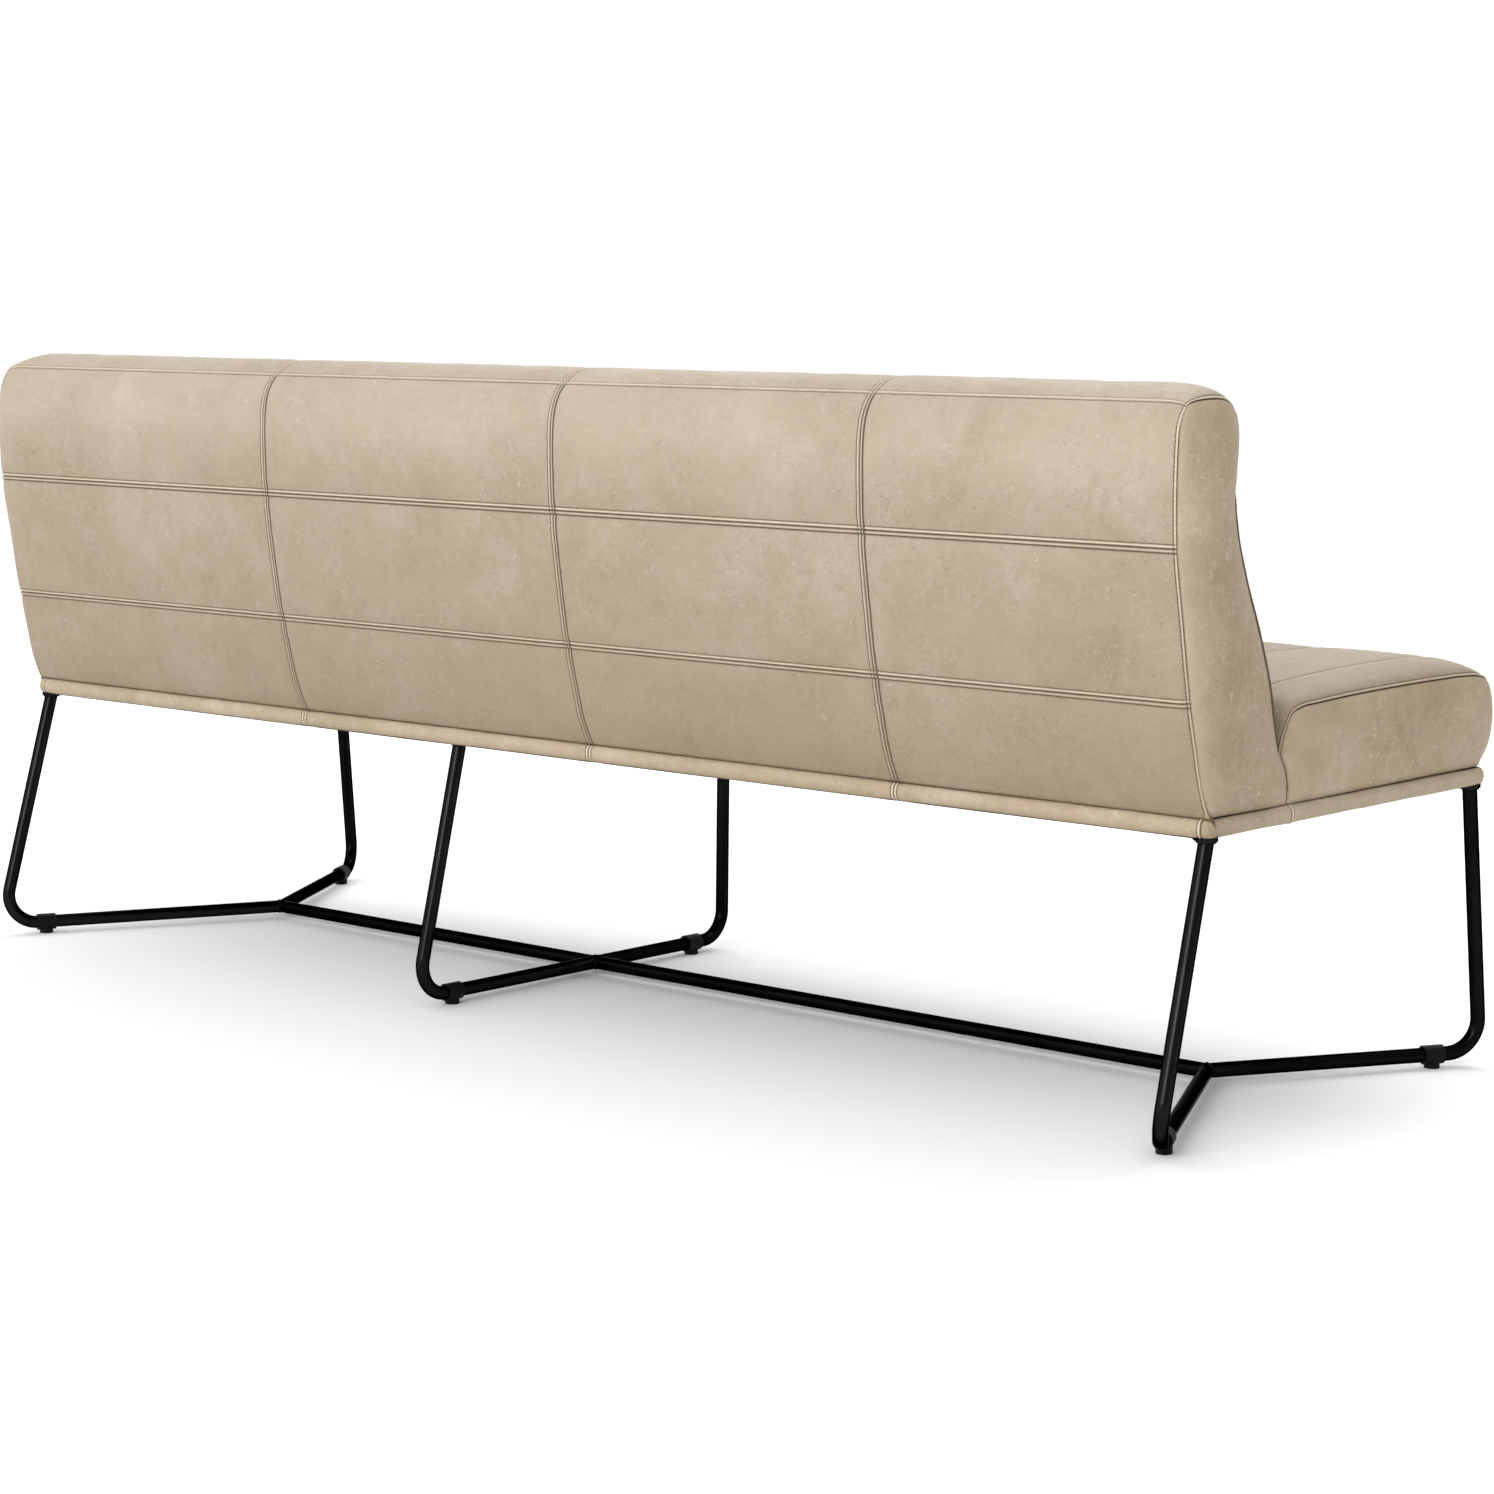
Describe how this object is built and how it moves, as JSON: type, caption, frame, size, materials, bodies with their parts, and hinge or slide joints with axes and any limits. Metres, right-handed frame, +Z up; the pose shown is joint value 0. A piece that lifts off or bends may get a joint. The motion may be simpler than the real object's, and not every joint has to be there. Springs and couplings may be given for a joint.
{
  "type": "upholstered dining bench",
  "caption": "Long leather-covered dining bench with a padded seat and a high stitched back, on a bent black steel tube base with splayed legs and a floor stretcher.",
  "frame": {"origin": "middle of the bench's outline, on the floor", "axes": "+Z up, +X along the bench, -Y towards the sitting side, backrest at +Y"},
  "size_m": [2.0406, 0.6832, 0.838],
  "materials": {
    "black_steel": "satin powder coat",
    "zinc": "zinc plated",
    "glide_plastic": "moulded",
    "plywood": "raw",
    "softwood": "raw",
    "hardboard": "raw",
    "lining": "non-woven",
    "webbing": "woven",
    "foam": "open cell foam",
    "hide": "matte, waxed nubuck look"
  },
  "bodies": {
    "root": {"rear_leg_left": "black_steel", "rear_leg_centre": "black_steel", "rear_leg_right": "black_steel", "front_leg_left": "black_steel", "front_leg_centre": "black_steel", "front_leg_right": "black_steel", "floor_stretcher": "black_steel", "leg_top_plates": "black_steel", "floor_glides": "glide_plastic", "plate_bolts": "zinc", "tee_nuts": "zinc", "base_board": "plywood", "underside_lining": "lining", "base_band": "hide", "seat_front_rail": "softwood", "seat_rear_rail": "softwood", "seat_side_rail_left": "softwood", "seat_side_rail_right": "softwood", "seat_cross_rails": "softwood", "back_top_rail": "softwood", "back_middle_rail": "softwood", "back_bottom_rail": "softwood", "back_post_left": "plywood", "back_post_inner_left": "plywood", "back_post_centre": "plywood", "back_post_inner_right": "plywood", "back_post_right": "plywood", "back_rear_panel": "hardboard", "seat_webbing": "webbing", "back_webbing": "webbing", "seat_foam": "foam", "seat_border_foam": "foam", "back_rear_foam": "foam", "back_front_foam": "foam", "seat_cover": "hide", "seat_side_panel_left": "hide", "seat_side_panel_right": "hide", "back_rear_cover": "hide", "back_front_cover": "hide", "back_side_panel_left": "hide", "back_side_panel_right": "hide"}
  },
  "joints": []
}
